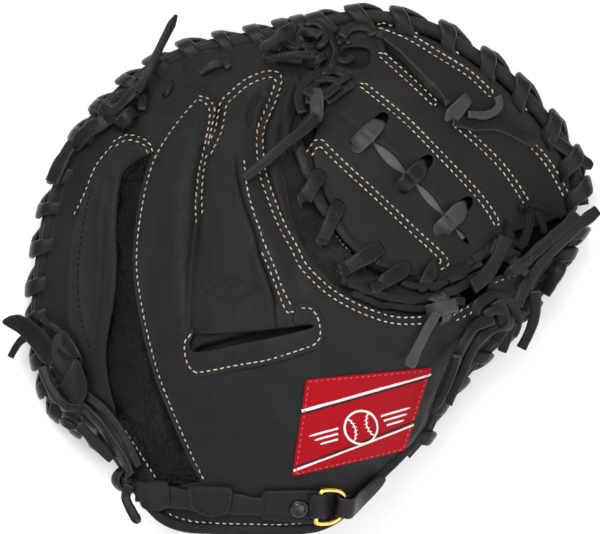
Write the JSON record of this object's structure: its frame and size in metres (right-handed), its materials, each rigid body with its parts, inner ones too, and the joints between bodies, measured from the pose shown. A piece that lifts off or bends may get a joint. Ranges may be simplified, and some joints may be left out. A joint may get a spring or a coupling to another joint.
{
  "type": "baseball catcher's mitt",
  "caption": "Padded leather catcher's mitt lying pocket down: laced rolled rim, finger stalls on the back, two-panel web, folding thumb, wrist strap with D-ring.",
  "frame": {"origin": "centre of the bounding box in plan, at the floor that the pocket side lies on", "axes": "+X towards the thumb, +Y towards the finger tips, +Z out of the back of the hand"},
  "size_m": [0.299, 0.2654, 0.1078],
  "materials": {
    "shell_leather": "matte black steerhide",
    "palm_leather": "matte black, suede inside",
    "lace_leather": "waxed black rawhide lace",
    "lining": "soft black lining",
    "padding": "wool felt, hidden",
    "label_cloth": null,
    "ring_brass": "polished",
    "rivet_black": "black enamelled snap"
  },
  "bodies": {
    "fingers": {"back_lining": "lining", "buckle_tab": "shell_leather", "crotch_knot": "lace_leather", "crotch_roll": "palm_leather", "gusset": "shell_leather", "hand_back": "shell_leather", "hand_liner": "lining", "heel_knot": "lace_leather", "heel_side": "shell_leather", "heel_strap": "lace_leather", "heel_strip": "lace_leather", "index_band": "shell_leather", "index_knot": "lace_leather", "index_stall": "shell_leather", "label": "label_cloth", "middle_stall": "shell_leather", "padding_fingers": "padding", "palm_fingers": "palm_leather", "pinky_knot": "lace_leather", "pinky_leaf_upper": "lace_leather", "pinky_stall": "shell_leather", "rim_lace_fingers": "lace_leather", "rim_lace_heel": "lace_leather", "rim_lace_web_fingers": "lace_leather", "rim_lace_web_lower": "lace_leather", "rim_roll_fingers": "shell_leather", "rim_roll_heel": "shell_leather", "rim_roll_web_fingers": "shell_leather", "rim_roll_web_lower": "shell_leather", "rim_tail": "lace_leather", "ring_keeper": "shell_leather", "ring_stall": "shell_leather", "strap_loop_middle": "shell_leather", "strap_loop_side": "shell_leather", "tab_rivet": "rivet_black", "tip_tail_upper": "lace_leather", "toe_panel": "shell_leather", "web_knot": "lace_leather", "web_lower": "shell_leather", "web_tee_1": "lace_leather", "web_tee_2": "lace_leather", "web_tee_3": "lace_leather", "web_tie_lace": "lace_leather", "web_upper_fingers": "shell_leather", "wrist_binding": "shell_leather", "wrist_strap": "shell_leather"},
    "thumb": {"back_lining_thumb": "lining", "padding_thumb": "padding", "palm_thumb": "palm_leather", "rim_lace_thumb": "lace_leather", "rim_lace_web_thumb": "lace_leather", "rim_roll_thumb": "shell_leather", "rim_roll_web_thumb": "shell_leather", "thumb_back": "shell_leather", "thumb_band": "lace_leather", "thumb_knot": "lace_leather", "web_upper_thumb": "shell_leather"},
    "ring": {"buckle_ring": "ring_brass"},
    "strap": {"strap_end": "lace_leather"}
  },
  "joints": [
    {"name": "close", "type": "hinge", "parent": "fingers", "child": "thumb", "pos_m": [0.0915, 0.003, 0.03], "axis": [0.1673, 0.9859, 0], "range_deg": [-5, 25]},
    {"name": "ring_swing", "type": "hinge", "parent": "fingers", "child": "ring", "pos_m": [0.009, -0.119, 0.0886], "axis": [-0.1696, -0.9468, -0.2736], "range_deg": [0, 50]},
    {"name": "strap_lift", "type": "hinge", "parent": "ring", "child": "strap", "pos_m": [0.02217, -0.119, 0.08043], "axis": [-0.1696, -0.9468, -0.2736], "range_deg": [0, 24]}
  ]
}
